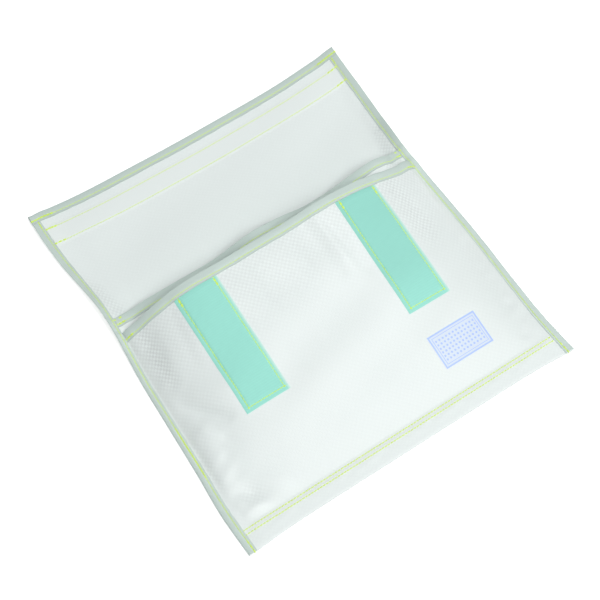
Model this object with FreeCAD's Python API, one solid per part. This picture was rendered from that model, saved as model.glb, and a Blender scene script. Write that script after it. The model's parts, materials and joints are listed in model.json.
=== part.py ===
"""Fire-resistant bag for lithium batteries: a sewn cloth envelope, lying on its back with its flap open.

Millimetres. X runs across the bag, Y from the bottom fold to the end of the flap, Z up. The origin is
at the centre of the footprint, on the surface that the bag lies on.

One cloth makes the back, the bottom fold and the front. A second cloth, the divider, splits the room
between them into two pockets, which gape as a filled bag's do. The back runs on past the mouths as the
fold strip and the flap: the strip stands up behind the mouths and the flap comes down over the front,
where its hook tape meets the two loop tapes. Folded tape binds every open edge.
"""

import FreeCAD, Part
import math
import os

# The whole bag
WIDTH = 380.0                # over the side tapes
LENGTH = 432.0               # bottom fold to the end of the open flap
FRONT_HEIGHT = 260.0         # bottom fold to the front mouth
DIVIDER_HEIGHT = 278.0       # bottom fold to the divider's mouth
SEAM_HEIGHT = 24.0           # bottom fold to the double-stitched seam where the pockets end
DIVIDER_TUCK = 9.0           # what the seam holds of the divider's lower edge
CREASE_OFFSET = 6.0          # divider's mouth to the first crease

# How the pockets gape
FRONT_RISE = 45.0            # front mouth above its side seams
DIVIDER_RISE = 15.0          # divider's mouth above its side seams
FULLNESS = 4.0               # 2 is a round arch, more is flatter on top and steeper at the sides
BELLY = 0.10                 # fullness between seam and mouth, as a share of the rise
SLACK = 0.14                 # depth of the slack between the two loop tapes, as a share of the rise
SLACK_X = 28.0
SLACK_WIDTH = 42.0

# Cloth and tapes
CLOTH = 0.8
TAPE = 0.6                   # one layer of binding tape
SIDE_TAPE_WIDTH = 9.0        # that a side binding shows on each face
END_TAPE_WIDTH = 11.0        # the same of the bindings on the mouths and on the flap's end
TAPE_CORNER = 0.85           # outer rounding of a folded tape
MOUTH_TAPE_END = 2.5         # end of a mouth tape to the side seam
HOOK_WIDTH = 25.0
HOOK_THICKNESS = 1.2
HOOK_INSET = 20.0            # flap's end to the hook tape
LOOP_WIDTH = 50.0
LOOP_LENGTH = 134.0
LOOP_THICKNESS = 1.8
LOOP_SPACING = 192.0         # centre to centre

# Clearances
CREASE_GAP = 0.3             # between the bodies at a crease
CLOSED_GAP = 0.8             # hook tape to loop tape with the flap closed

# Heights of the stack of cloths in the seams
BACK_Z = TAPE
DIVIDER_Z = BACK_Z + CLOTH
FRONT_Z = DIVIDER_Z + CLOTH
CREASE_Z = BACK_Z + CLOTH / 2

# Places across and along
EDGE_X = WIDTH / 2 - TAPE    # edge of the cloths, inside the side tapes
SEAM_X = WIDTH / 2 - SIDE_TAPE_WIDTH
BOTTOM_Y = -LENGTH / 2
SEAM_Y = BOTTOM_Y + SEAM_HEIGHT
FRONT_MOUTH_Y = BOTTOM_Y + FRONT_HEIGHT
DIVIDER_MOUTH_Y = BOTTOM_Y + DIVIDER_HEIGHT
CREASE_1_Y = DIVIDER_MOUTH_Y + CREASE_OFFSET
FLAP_END_Y = LENGTH / 2

# The strip is as long as the closed flap needs to lie along the front, on the tapes
FRONT_SLOPE = FRONT_RISE / (FRONT_MOUTH_Y - SEAM_Y)
MOUTH_TOP_Z = FRONT_Z + CLOTH + TAPE + FRONT_RISE
STRIP_LENGTH = (MOUTH_TOP_Z - CREASE_Z + (CREASE_1_Y - FRONT_MOUTH_Y) * FRONT_SLOPE
                + CLOTH / 2 + HOOK_THICKNESS + LOOP_THICKNESS + CLOSED_GAP)
CREASE_2_Y = CREASE_1_Y + STRIP_LENGTH

# How far the strip turns up at the first crease, and the flap over at the second
RISE_ANGLE = 90.0
CLOSE_ANGLE = 90.0 + math.degrees(math.atan(FRONT_SLOPE))

ARCH_POINTS = 25             # of the curve across a gaping panel
BELLY_STEPS = 5              # straight stretches along a gaping panel, below its mouth tape
SAME_PLACE = 1e-6            # two sections nearer to each other than this are one

X_AXIS = FreeCAD.Vector(1, 0, 0)


def point(x, y, z):
    return FreeCAD.Vector(x, y, z)


def line(a, b):
    return Part.makeLine(a, b)


def arc(a, middle, b):
    return Part.Arc(a, middle, b).toShape()


def block(x0, x1, y0, y1, z0, z1):
    return Part.makeBox(x1 - x0, y1 - y0, z1 - z0, point(x0, y0, z0))


def across(profile, half_width):
    """Extrude a list of edges in a YZ plane across the bag."""
    wire = Part.Wire(profile)
    wire.translate(point(-half_width, 0, 0))
    return Part.Face(wire).extrude(X_AXIS * (2 * half_width))


def mirrored(shape):
    return shape.mirror(point(0, 0, 0), X_AXIS)


# ---- Gaping panels ----

def arch(x):
    """Share of the rise that a panel reaches at x, from none at its side seams."""
    slack = SLACK * math.exp(-((x - SLACK_X) / SLACK_WIDTH) ** 2)
    return (1 - (abs(x) / SEAM_X) ** FULLNESS) * (1 - slack)


def rise_at(y, mouth_y, rise):
    """Rise of a panel at y, growing from the bottom seam to its mouth with a slight belly."""
    along = max(0.0, (y - SEAM_Y) / (mouth_y - SEAM_Y))
    return rise * (along + BELLY * along * (1 - along))


def stations(y0, y1, mouth_y):
    """The places along a panel where its sections stand, between y0 and y1."""
    tape_y = mouth_y - END_TAPE_WIDTH
    step = (tape_y - SEAM_Y) / BELLY_STEPS
    places = [SEAM_Y + step * i for i in range(BELLY_STEPS + 1)] + [mouth_y]
    return [y0] + [y for y in places if y0 + SAME_PLACE < y < y1 - SAME_PLACE] + [y1]


def panel_height(y, mouth_y, rise):
    """Rise at y along the straight stretches between the panel's stations."""
    places = stations(SEAM_Y, mouth_y, mouth_y)
    if y <= SEAM_Y:
        return 0.0
    for near, far in zip(places, places[1:]):
        if y <= far:
            low = rise_at(near, mouth_y, rise)
            high = rise_at(far, mouth_y, rise)
            return low + (high - low) * (y - near) / (far - near)
    return rise


def curve_across(y, z, rise):
    step = 2 * SEAM_X / (ARCH_POINTS - 1)
    places = [-SEAM_X + step * i for i in range(ARCH_POINTS)]
    curve = Part.BSplineCurve()
    curve.interpolate(Points=[point(x, y, z + rise * arch(x)) for x in places], Parameters=places)
    return curve.toShape()


def layer_section(y, bottom_z, top_z, rise):
    """Closed section of a layer that lies flat in the side seams and arches between them."""
    edges = [curve_across(y, top_z, rise), curve_across(y, bottom_z, rise)]
    for side in (-1, 1):
        seam = side * SEAM_X
        edge = side * EDGE_X
        edges.append(line(point(seam, y, top_z), point(edge, y, top_z)))
        edges.append(line(point(edge, y, top_z), point(edge, y, bottom_z)))
        edges.append(line(point(edge, y, bottom_z), point(seam, y, bottom_z)))
    return Part.Wire(Part.__sortEdges__(edges))


def gaping_layer(y0, y1, bottom_z, top_z, mouth_y, rise):
    """A layer from bottom_z to top_z above the seams, following one gaping panel from y0 to y1."""
    sections = [layer_section(y, bottom_z, top_z, panel_height(y, mouth_y, rise))
                for y in stations(y0, y1, mouth_y)]
    return Part.makeLoft(sections, True, True)


def mouth_binding(panel_z, mouth_y, rise):
    """Tape folded over a panel's mouth, ending just short of the side seams."""
    tape_y = mouth_y - END_TAPE_WIDTH
    edge_y = mouth_y - TAPE
    upper = gaping_layer(tape_y, edge_y, panel_z + CLOTH, panel_z + CLOTH + TAPE, mouth_y, rise)
    lower = gaping_layer(tape_y, edge_y, panel_z - TAPE, panel_z, mouth_y, rise)
    fold = gaping_layer(edge_y, mouth_y, panel_z - TAPE, panel_z + CLOTH + TAPE, mouth_y, rise)
    end_x = SEAM_X - MOUTH_TAPE_END
    room = block(-end_x, end_x, tape_y, mouth_y, 0, MOUTH_TOP_Z + TAPE)
    return upper.fuse([lower, fold]).common(room).removeSplitter()


def front_panel():
    return gaping_layer(SEAM_Y, FRONT_MOUTH_Y - TAPE, FRONT_Z, FRONT_Z + CLOTH, FRONT_MOUTH_Y, FRONT_RISE)


def divider_panel():
    return gaping_layer(SEAM_Y - DIVIDER_TUCK, DIVIDER_MOUTH_Y - TAPE, DIVIDER_Z, DIVIDER_Z + CLOTH,
                        DIVIDER_MOUTH_Y, DIVIDER_RISE)


def loop_tape(side):
    """One of the two wide tapes on the front panel, hanging from the mouth binding."""
    top_y = FRONT_MOUTH_Y - END_TAPE_WIDTH
    bottom_y = top_y - LOOP_LENGTH
    surface_z = FRONT_Z + CLOTH
    layer = gaping_layer(bottom_y, top_y, surface_z, surface_z + LOOP_THICKNESS, FRONT_MOUTH_Y, FRONT_RISE)
    centre_x = side * LOOP_SPACING / 2
    room = block(centre_x - LOOP_WIDTH / 2, centre_x + LOOP_WIDTH / 2, bottom_y, top_y,
                 0, MOUTH_TOP_Z + LOOP_THICKNESS)
    return layer.common(room)


# ---- Back, fold strip and flap ----

def crease_room(half_thickness, angle):
    """How far short of a crease's axis one side ends, for the other to turn by the angle clear of it."""
    turn = math.radians(max(angle, 90.0))
    return (half_thickness * (1 - math.cos(turn)) + CREASE_GAP) / math.sin(turn)


def cloth_end(crease_y, angle):
    return crease_y - crease_room(CLOTH / 2, angle)


def tape_end(crease_y, angle):
    return crease_y - crease_room(CLOTH / 2 + TAPE, angle)


def notched(cloth, crease_y, angle):
    """Cut the corners of a cloth's end back to the ends of its side tapes."""
    inner = SEAM_X - CREASE_GAP
    end_y = tape_end(crease_y, angle)
    right = block(inner, EDGE_X, end_y, crease_y, 0, FRONT_Z + CLOTH)
    return cloth.cut(right).cut(mirrored(right))


def back_panel():
    """The back, round the bottom fold, and up to the seam: a J from the side."""
    top_z = FRONT_Z + CLOTH
    middle_z = (BACK_Z + top_z) / 2
    fold_y = BOTTOM_Y + middle_z - BACK_Z
    end_y = cloth_end(CREASE_1_Y, RISE_ANGLE)
    profile = [
        line(point(0, end_y, BACK_Z), point(0, fold_y, BACK_Z)),
        arc(point(0, fold_y, BACK_Z), point(0, BOTTOM_Y, middle_z), point(0, fold_y, top_z)),
        line(point(0, fold_y, top_z), point(0, SEAM_Y, top_z)),
        line(point(0, SEAM_Y, top_z), point(0, SEAM_Y, FRONT_Z)),
        line(point(0, SEAM_Y, FRONT_Z), point(0, fold_y, FRONT_Z)),
        arc(point(0, fold_y, FRONT_Z), point(0, BOTTOM_Y + CLOTH, middle_z), point(0, fold_y, DIVIDER_Z)),
        line(point(0, fold_y, DIVIDER_Z), point(0, end_y, DIVIDER_Z)),
        line(point(0, end_y, DIVIDER_Z), point(0, end_y, BACK_Z)),
    ]
    return notched(across(profile, EDGE_X), CREASE_1_Y, RISE_ANGLE)


def creased_bar(crease_y, end_y, half_thickness, half_width):
    """A flat bar that starts at a crease with a round edge about the crease's axis."""
    low = CREASE_Z - half_thickness
    high = CREASE_Z + half_thickness
    profile = [
        arc(point(0, crease_y, high), point(0, crease_y - half_thickness, CREASE_Z), point(0, crease_y, low)),
        line(point(0, crease_y, low), point(0, end_y, low)),
        line(point(0, end_y, low), point(0, end_y, high)),
        line(point(0, end_y, high), point(0, crease_y, high)),
    ]
    return across(profile, half_width)


def fold_strip():
    strip = creased_bar(CREASE_1_Y, cloth_end(CREASE_2_Y, CLOSE_ANGLE), CLOTH / 2, EDGE_X)
    return notched(strip, CREASE_2_Y, CLOSE_ANGLE)


def flap_panel():
    return creased_bar(CREASE_2_Y, FLAP_END_Y - TAPE, CLOTH / 2, EDGE_X)


def hook_tape():
    end_y = FLAP_END_Y - HOOK_INSET
    z = BACK_Z + CLOTH
    return block(-SEAM_X, SEAM_X, end_y - HOOK_WIDTH, end_y, z, z + HOOK_THICKNESS)


# ---- Bindings along the sides and the flap's end ----

def tape_section(y, stack):
    """Tape folded round the right-hand edge of cloths that are stack thick together."""
    outer = WIDTH / 2
    corner = outer - TAPE_CORNER
    top = stack + 2 * TAPE
    inset = TAPE_CORNER * (1 - math.sqrt(0.5))
    return Part.Wire([
        line(point(SEAM_X, y, 0), point(corner, y, 0)),
        arc(point(corner, y, 0), point(outer - inset, y, inset), point(outer, y, TAPE_CORNER)),
        line(point(outer, y, TAPE_CORNER), point(outer, y, top - TAPE_CORNER)),
        arc(point(outer, y, top - TAPE_CORNER), point(outer - inset, y, top - inset), point(corner, y, top)),
        line(point(corner, y, top), point(SEAM_X, y, top)),
        line(point(SEAM_X, y, top), point(SEAM_X, y, top - TAPE)),
        line(point(SEAM_X, y, top - TAPE), point(EDGE_X, y, top - TAPE)),
        line(point(EDGE_X, y, top - TAPE), point(EDGE_X, y, TAPE)),
        line(point(EDGE_X, y, TAPE), point(SEAM_X, y, TAPE)),
        line(point(SEAM_X, y, TAPE), point(SEAM_X, y, 0)),
    ])


def side_tape(places):
    """Binding along the right-hand side, through a list of (y, thickness of the cloths)."""
    return Part.makeLoft([tape_section(y, stack) for y, stack in places], True, True)


def side_binding():
    """Bag's own stretch: over three cloths, then two past the front mouth, then the back alone."""
    step = SIDE_TAPE_WIDTH / 3
    end_y = tape_end(CREASE_1_Y, RISE_ANGLE)
    last_y = DIVIDER_MOUTH_Y + min(step, (end_y - DIVIDER_MOUTH_Y) / 2)
    return side_tape([
        (BOTTOM_Y, 3 * CLOTH),
        (FRONT_MOUTH_Y, 3 * CLOTH),
        (FRONT_MOUTH_Y + step, 2 * CLOTH),
        (DIVIDER_MOUTH_Y, 2 * CLOTH),
        (last_y, CLOTH),
        (end_y, CLOTH),
    ])


def creased_binding(crease_y, end_y):
    """Stretch of side binding that starts round a crease's axis."""
    half = CLOTH / 2 + TAPE
    tape = side_tape([(crease_y - half, CLOTH), (end_y, CLOTH)])
    return tape.common(creased_bar(crease_y, end_y, half, WIDTH / 2))


def strip_binding():
    return creased_binding(CREASE_1_Y, tape_end(CREASE_2_Y, CLOSE_ANGLE))


def flap_binding():
    return creased_binding(CREASE_2_Y, FLAP_END_Y - END_TAPE_WIDTH)


def flap_end_binding():
    """Tape folded over the flap's end, across the whole width and over the ends of the side tapes."""
    top = CLOTH + 2 * TAPE
    inner_y = FLAP_END_Y - END_TAPE_WIDTH
    outer = block(-WIDTH / 2, WIDTH / 2, inner_y, FLAP_END_Y, 0, top)
    rounded = [edge for edge in outer.Edges
               if abs(edge.CenterOfMass.y - FLAP_END_Y) < TAPE / 2 and abs(edge.CenterOfMass.x) < TAPE]
    outer = outer.makeFillet(TAPE_CORNER, rounded)
    cloth = block(-EDGE_X, EDGE_X, inner_y, FLAP_END_Y - TAPE, TAPE, TAPE + CLOTH)
    return outer.cut(cloth)


def parts():
    yield "back_panel", back_panel()
    yield "divider_panel", divider_panel()
    yield "front_panel", front_panel()
    yield "front_mouth_binding", mouth_binding(FRONT_Z, FRONT_MOUTH_Y, FRONT_RISE)
    yield "divider_mouth_binding", mouth_binding(DIVIDER_Z, DIVIDER_MOUTH_Y, DIVIDER_RISE)
    yield "loop_tape_left", loop_tape(-1)
    yield "loop_tape_right", loop_tape(1)
    yield "fold_strip", fold_strip()
    yield "flap_panel", flap_panel()
    yield "hook_tape", hook_tape()
    yield "flap_end_binding", flap_end_binding()
    for name, right in (("side_binding", side_binding()), ("strip_binding", strip_binding()),
                        ("flap_binding", flap_binding())):
        yield name + "_right", right
        yield name + "_left", mirrored(right)


def main():
    os.makedirs("parts", exist_ok=True)
    for name, shape in parts():
        if not shape.isValid() or len(shape.Solids) != 1:
            raise ValueError(f"{name}: {len(shape.Solids)} solids, valid {shape.isValid()}")
        shape.Solids[0].exportStep(f"parts/{name}.step")
        box = shape.BoundBox
        print(f"{name}: {box.XLength:.1f} x {box.YLength:.1f} x {box.ZLength:.1f}, {shape.Volume:.0f} mm3")
    print(f"creases at y {CREASE_1_Y:.3f} and {CREASE_2_Y:.3f}, z {CREASE_Z:.3f}")
    print(f"they turn by {RISE_ANGLE:.3f} and {CLOSE_ANGLE:.3f} degrees")


main()
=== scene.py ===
"""Cloth, tapes, stitching and print of a fire-resistant bag for lithium batteries.

The bag lies on its back with its flap open and its two pockets gaping. Sizes in the making are
millimetres, in the frame of the CAD model; a mesh is scaled to metres as it is made.
"""

import json
import math

import bpy
import numpy as np
from bpy.props import FloatProperty, FloatVectorProperty, IntProperty, PointerProperty
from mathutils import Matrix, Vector


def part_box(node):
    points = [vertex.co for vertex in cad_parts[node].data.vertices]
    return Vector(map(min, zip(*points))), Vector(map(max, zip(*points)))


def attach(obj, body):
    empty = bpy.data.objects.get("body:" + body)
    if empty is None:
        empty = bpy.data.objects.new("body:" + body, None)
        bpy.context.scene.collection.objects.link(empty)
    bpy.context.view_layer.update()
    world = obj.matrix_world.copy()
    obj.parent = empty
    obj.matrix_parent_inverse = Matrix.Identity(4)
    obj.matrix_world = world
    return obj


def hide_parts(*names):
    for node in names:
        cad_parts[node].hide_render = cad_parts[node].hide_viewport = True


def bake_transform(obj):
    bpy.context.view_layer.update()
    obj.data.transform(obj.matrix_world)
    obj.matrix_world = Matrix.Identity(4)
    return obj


bl_info = {
    "name": "Battery Bag",
    "version": (1, 0, 0),
    "blender": (4, 5, 0),
    "location": "3D View > Sidebar > Battery Bag",
    "description": "Makes the cloth, tapes, stitching and print of a flat sewn bag for batteries",
    "category": "Add Mesh",
}

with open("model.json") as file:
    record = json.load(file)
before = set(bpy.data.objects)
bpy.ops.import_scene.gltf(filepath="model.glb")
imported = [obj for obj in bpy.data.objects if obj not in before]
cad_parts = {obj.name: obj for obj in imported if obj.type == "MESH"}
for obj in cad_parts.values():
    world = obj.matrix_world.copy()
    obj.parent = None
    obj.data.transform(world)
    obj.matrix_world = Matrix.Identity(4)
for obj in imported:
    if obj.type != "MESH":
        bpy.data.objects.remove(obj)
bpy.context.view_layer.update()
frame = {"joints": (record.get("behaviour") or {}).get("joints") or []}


# ---- Sizes and places from the CAD model, in millimetres ----

def low_corner(node):
    return np.array(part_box(node)[0]) * 1000


def high_corner(node):
    return np.array(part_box(node)[1]) * 1000


HALF_WIDTH = high_corner("side_binding_right")[0]
SIDE_SEAM = low_corner("side_binding_right")[0]
CLOTH_EDGE = high_corner("back_panel")[0]
BOTTOM = low_corner("side_binding_right")[1]
HEM = low_corner("front_panel")[1]
FRONT_MOUTH = high_corner("front_mouth_binding")[1]
DIVIDER_MOUTH = high_corner("divider_mouth_binding")[1]
FLAP_END = high_corner("flap_end_binding")[1]
HOOK_LOW = low_corner("hook_tape")[1]
HOOK_HIGH = high_corner("hook_tape")[1]
LOOP_INNER = low_corner("loop_tape_right")[0]
LOOP_OUTER = high_corner("loop_tape_right")[0]
LOOP_LOW = low_corner("loop_tape_right")[1]
CREASE_1, CREASE_2 = (joint["pos_m"][1] * 1000 for joint in frame["joints"])
STRIP_MIDDLE = (CREASE_1 + CREASE_2) / 2
TAPE = low_corner("flap_panel")[2]                    # one layer of binding tape
CLOTH = high_corner("flap_panel")[2] - TAPE
BACK_Z = TAPE + CLOTH / 2                             # middle of each cloth where it lies flat
DIVIDER_Z = BACK_Z + CLOTH
FRONT_Z = DIVIDER_Z + CLOTH

# The two stretches of whatever crosses the creases: name, near end, far end
STRETCHES = (("bag", BOTTOM, STRIP_MIDDLE), ("flap", STRIP_MIDDLE, FLAP_END))
SIDES = ((-1, "left"), (1, "right"))

# Where the sewing has pulled the two sides in: place along the bag, distance of the edge from the middle
LEFT_SIDE = ((-216, 194.0), (-170, 195.2), (-120, 192.4), (-60, 190.0), (0, 187.3), (25, 185.2), (50, 183.7),
             (80, 183.6), (110, 185.6), (150, 189.4), (185, 191.0), (216, 190.4))
RIGHT_SIDE = ((-216, 191.8), (-170, 188.2), (-120, 187.8), (-60, 188.4), (0, 186.4), (30, 184.0), (56, 181.0),
              (80, 181.2), (110, 184.2), (150, 187.0), (185, 188.0), (216, 189.2))

# How much of the side tapes' width shows: place along the bag, share
LEFT_TAPE = ((-216, 0.80), (20, 0.76), (70, 0.80), (95, 0.84), (216, 0.84))
RIGHT_TAPE = ((-216, 0.90), (0, 0.92), (56, 0.98), (216, 0.98))

# How far the mouths stand above their side seams: place across the bag, rise
FRONT_GAPE = ((-181, 0), (-176, 4), (-165, 11.5), (-150, 23), (-130, 33), (-115, 38), (-100, 40.3),
              (-70, 40.5), (-30, 41), (10, 42), (30, 43.8), (50, 46), (70, 46), (85, 44.4), (100, 42.5),
              (115, 38), (130, 33), (140, 28.5), (150, 25), (160, 18.5), (171, 10), (178, 3), (181, 0))
DIVIDER_GAPE = ((-181, 0), (-170, 3.0), (-160, 6.0), (-150, 9.5), (-120, 11), (-80, 11), (-54, 12),
                (-33, 18.5), (-12, 24), (10, 23), (30, 19), (48, 14), (75, 14), (105, 20), (130, 26),
                (142, 26.5), (152, 23), (162, 13), (172, 5), (181, 0))

# Soft folds in the front: start, end, half width to the left and to the right of the run, height
FRONT_FOLDS = (
    ((-168, -58), (-138, -92), 5.5, 5, -3.4), ((-150, -50), (-118, -78), 10, 10, 1.8),
    ((-170, -80), (-156, -104), 6, 11, 2.8), ((-168, -98), (-168, -140), 10, 9, 1.5),
    ((-173, -88), (-175, -160), 10, 5, 1.2), ((-172, -173), (-150, -189), 9, 8, 1.8),
    ((-168, -158), (-146, -174), 8, 8, -1.8), ((-177, -166), (-175, -192), 2.5, 2.5, -0.9),
    ((-140, -160), (-118, -182), 9, 9, 0.8), ((30, 30), (38, -30), 7, 7, -1.2),
    ((52, 34), (60, -40), 6, 6, -1.0), ((44, 36), (50, -20), 4, 4, 0.9),
    ((8, 34), (14, -8), 6, 6, -0.7), ((-48, 34), (-40, -20), 6, 6, -0.6),
    ((-128, 30), (-136, -30), 6, 6, -1.0), ((-146, 28), (-158, -40), 7, 7, 0.9),
    ((154, 26), (134, -56), 10, 8, -1.7), ((173, 22), (153, -100), 7, 10, 1.3),
    ((168, -100), (163, -176), 7, 7, -1.1),
)

# Grids, steps and small sizes
COLUMN_STEP = 2.6                                     # between two lines of a mesh across the bag
ROW_STEP = 2.0                                        # between two places of a row of stitches
FOLD_Y = BOTTOM + 0.3                                 # where the bottom fold starts to turn
SEWN_AGAIN = (-128, -72)                              # stretch of the left side that is sewn over once more
BADGE_PLACE = (100.0, -148.0)                         # middle of the printed badge on the front
FAINT = 0.12                                          # how strongly the weave shows where cloth lies level
SUNK = 0.05                                           # how deep a piece sits in the cloth that it is sewn to
BORDER_WAVER = 0.25                                   # how far a tape's border strays
SIDE_SEWN_IN = 2.6                                    # a side tape's border to its stitches
EDGE_SEWN_IN = 2.9                                    # the same of the mouth and end tapes
HOOK_SEWN_IN = 3.0                                    # and of the hook tape
STITCH_DIP = 0.8                                      # half width of the dip that a row of stitches presses
LOOP_WEB = 0.55                                       # thickness of a loop tape's woven ground
FOLD_TURN = np.radians(np.linspace(90, -90, 9))[None, 1:-1]       # round a tape's fold to its underside


# ---- How the cloths lie ----

def fade(t, low, high):
    """0 up to low, 1 from high on, and smooth between them."""
    share = np.clip((t - low) / (high - low), 0, 1)
    return share * share * (3 - 2 * share)


def hill(t, middle, width):
    return np.exp(-((t - middle) / width) ** 2)


def through(t, places):
    """Smooth curve through a few pairs of place and value."""
    at, value = np.array(places, float).T
    slope = np.gradient(value, at)
    t = np.clip(t, at[0], at[-1])
    i = np.clip(np.searchsorted(at, t) - 1, 0, len(at) - 2)
    step = at[i + 1] - at[i]
    s = (t - at[i]) / step
    return (value[i] * (1 + 2 * s) * (1 - s) ** 2 + slope[i] * step * s * (1 - s) ** 2
            + value[i + 1] * s * s * (3 - 2 * s) + slope[i + 1] * step * s * s * (s - 1))


def ripple(x, y, length):
    """Calm, uneven waves between about -1 and 1, with crests about a length apart."""
    k = 2 * math.pi / length
    waves = (np.sin(k * (0.83 * x + 0.41 * y) + 0.7 + 1.3 * np.sin(0.37 * k * y))
             + np.sin(k * (-0.47 * x + 0.71 * y) + 2.1 + 1.1 * np.sin(0.29 * k * x))
             + np.sin(k * (0.31 * x - 1.07 * y) + 4.4))
    return waves / 3


def fold_height(x, y, folds):
    """Sum of the soft folds at a place."""
    total = np.zeros(np.broadcast(x, y).shape)
    for (x0, y0), (x1, y1), left, right, height in folds:
        run = np.array((x1 - x0, y1 - y0), float)
        share = ((x - x0) * run[0] + (y - y0) * run[1]) / (run @ run)
        width = np.where(run[0] * (y - y0) > run[1] * (x - x0), left, right)
        near = np.clip(share, 0, 1)
        distance = np.hypot(x - x0 - near * run[0], y - y0 - near * run[1])
        taper = 0.35 + 0.65 * np.sin(math.pi * np.clip(0.15 + 0.7 * share, 0, 1)) ** 2
        total = total + height * taper * hill(distance, 0, width)
    return total


def drawn_in(x, y):
    """Place across after the side seams have been pulled in by the gaping mouths."""
    edge = np.where(x < 0, through(y, LEFT_SIDE), through(y, RIGHT_SIDE))
    return x + np.sign(x) * (edge - HALF_WIDTH) * np.abs(x / HALF_WIDTH) ** 5


def bowed(x, y):
    """Place along after the ends have bowed in between their corners and the mouths have pulled askew."""
    across = np.clip(np.abs(x) / SIDE_SEAM, 0, 1)
    end = fade(y, 100, 165) * (2.8 + 6.2 * (1 - across ** 2.5) + 1.6 * fade(-x, 174, 188))
    fold = 3.3 * (1 - fade(y, BOTTOM, BOTTOM + 20)) * (1 - across ** 8)
    mouths = 5.0 * hill(y, 45, 30) * fade(x, 152, 178)
    return y - end + fold + mouths


def lifted(x, y):
    """How far the sewn edges and the open flap stand off the ground."""
    side = np.abs(x)
    curl = (4.6 * fade(y, 20, 100) + 4.4 * hill(y, 74, 34)) * (np.clip(side - 162, 0, None) / 28) ** 1.8
    pulled = 6.5 * hill(y, 58, 40) * fade(side, 146, 182)
    corner = 2.0 * fade(side, 110, 190) * fade(y, 140, FLAP_END)
    flap = fade(y, 66, 90) * (0.9 + 0.9 * ripple(x, y, 95) * (1 - fade(side, 150, 185)))
    seam = 0.35 * (1 + ripple(x, y, 31)) * fade(side, 165, 180) * (1 - fade(y, 150, 190))
    return curl + pulled + corner + flap + seam


def settled(x, y, z):
    """Turn places in the flat pattern, x across, y along and z up, into places on the bag."""
    x, y, z = np.broadcast_arrays(*(np.asarray(value, float) for value in (x, y, z)))
    return np.stack([drawn_in(x, y), bowed(x, y), z + lifted(x, y)], axis=-1)


def front_rise(x, y):
    """Height of the front above its side seams."""
    seam_in = SIDE_SEAM - np.abs(x)
    side = np.clip(np.abs(x) / SIDE_SEAM, 0, 1)
    along = np.clip((y - HEM) / (FRONT_MOUTH - HEM), 0, 1.15)
    even = 44 * (1 - side ** 5.5)
    shape = even + (through(x, FRONT_GAPE) - even) * fade(along, 0.15, 1.0)
    rise = shape * (along + 0.10 * along * (1 - along))
    inside = fade(seam_in, 0, 8) * fade(along, 0, 0.06)
    pucker = 0.5 * ripple(x, y, 17) * hill(side * SIDE_SEAM, 170, 14) * fade(along, 0, 0.1)
    soft = 0.8 * ripple(x, y, 68) * fade(along, 0.05, 0.4)
    puff = 0.5 + 0.35 * fade(y, BOTTOM - 1, BOTTOM + 16)
    puff = puff * (1 - fade(y, HEM - 5, HEM + 2)) * fade(seam_in, 0, 14)
    puff = puff + 0.25 * ripple(x, y, 15) * hill(y, HEM - 10, 5)
    return np.maximum(rise + inside * (fold_height(x, y, FRONT_FOLDS) + soft + pucker), 0) + puff


def divider_rise(x, y):
    """Height of the divider above its side seams; it stays below the front."""
    along = np.clip((y - HEM) / (DIVIDER_MOUTH - HEM), 0, 1.1)
    rise = through(x, DIVIDER_GAPE) * along + 0.5 * ripple(x, y, 60) * along
    inside = fade(SIDE_SEAM - np.abs(x), 0, 10)
    return np.clip(rise * inside, 0, 0.95 * front_rise(x, np.minimum(y, FRONT_MOUTH)))


def back(x, y):
    return settled(x, y, BACK_Z)


def divider(x, y):
    return settled(x, y, DIVIDER_Z + divider_rise(x, y))


def front(x, y):
    return settled(x, y, FRONT_Z + front_rise(x, y))


def upright(cloth, x, y):
    """Direction square to a cloth, upwards."""
    step = 0.6
    normal = np.cross(cloth(x + step, y) - cloth(x - step, y), cloth(x, y + step) - cloth(x, y - step))
    return normal / np.linalg.norm(normal, axis=-1, keepdims=True)


def above(cloth, x, y, height):
    """Places at a height over the middle of a cloth, square to it."""
    x, y, height = np.broadcast_arrays(*(np.asarray(value, float) for value in (x, y, height)))
    return cloth(x, y) + upright(cloth, x, y) * height[..., None]


def weave_on_slopes(cloth, x, y, most=0.5):
    """How strongly the weave shows: faint where a cloth lies level, more where it slopes. This is painted
    light
    and shade: level cloth stands in for the sheen washing its weave out, and sloping cloth shows the weave a
    little darker.
    """
    level_share = np.abs(upright(cloth, x, y)[..., 2])
    return FAINT + most * (1 - fade(level_share, 0.90, 0.985))


def weave_on_front(x, y):
    """The same for the front, given place by place. Painted shade: beside the mouth and on the slopes at both
    ends of it the weave shows more and the cloth comes out a little darker. The lower left side and a patch
    near the lower left corner are set likewise and come out darker too.
    """
    left = hill(x, -164, 12) * fade(y, -58, -12)
    low_left = 0.45 * hill(x, -179, 6) * fade(y, -150, -130) * (1 - fade(y, -105, -75))
    corner = 0.42 * hill(np.hypot(x + 156, y + 168), 0, 13)
    right = 0.85 * hill(x, 138, 17) * fade(y, -70, -20)
    mouth = 0.5 * fade(y, -90, 25)
    slopes = weave_on_slopes(front, x, y, 0.12)
    return np.maximum.reduce(np.broadcast_arrays(slopes, left, low_left, corner, right, mouth))


# ---- Meshes ----

def new_object(name, data):
    """Object for a mesh, a lamp or a camera, in the scene."""
    thing = bpy.data.objects.new(name, data)
    bpy.context.scene.collection.objects.link(thing)
    return thing


def columns(reach, step=COLUMN_STEP):
    """Places across the bag, as one row."""
    return np.linspace(-reach, reach, 2 * round(reach / step) + 1)[None]


def rows_between(start, end, step):
    """Places along the bag, as one column."""
    return np.linspace(start, end, max(2, round(abs(end - start) / step) + 1))[:, None]


def lengths(points, axis):
    """Distance run along each line of a grid of points, from its middle."""
    steps = np.linalg.norm(np.diff(points, axis=axis), axis=-1)
    run = np.concatenate([np.zeros_like(np.take(steps, [0], axis)), np.cumsum(steps, axis)], axis)
    return run - np.take(run, [run.shape[axis] // 2], axis)


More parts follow.
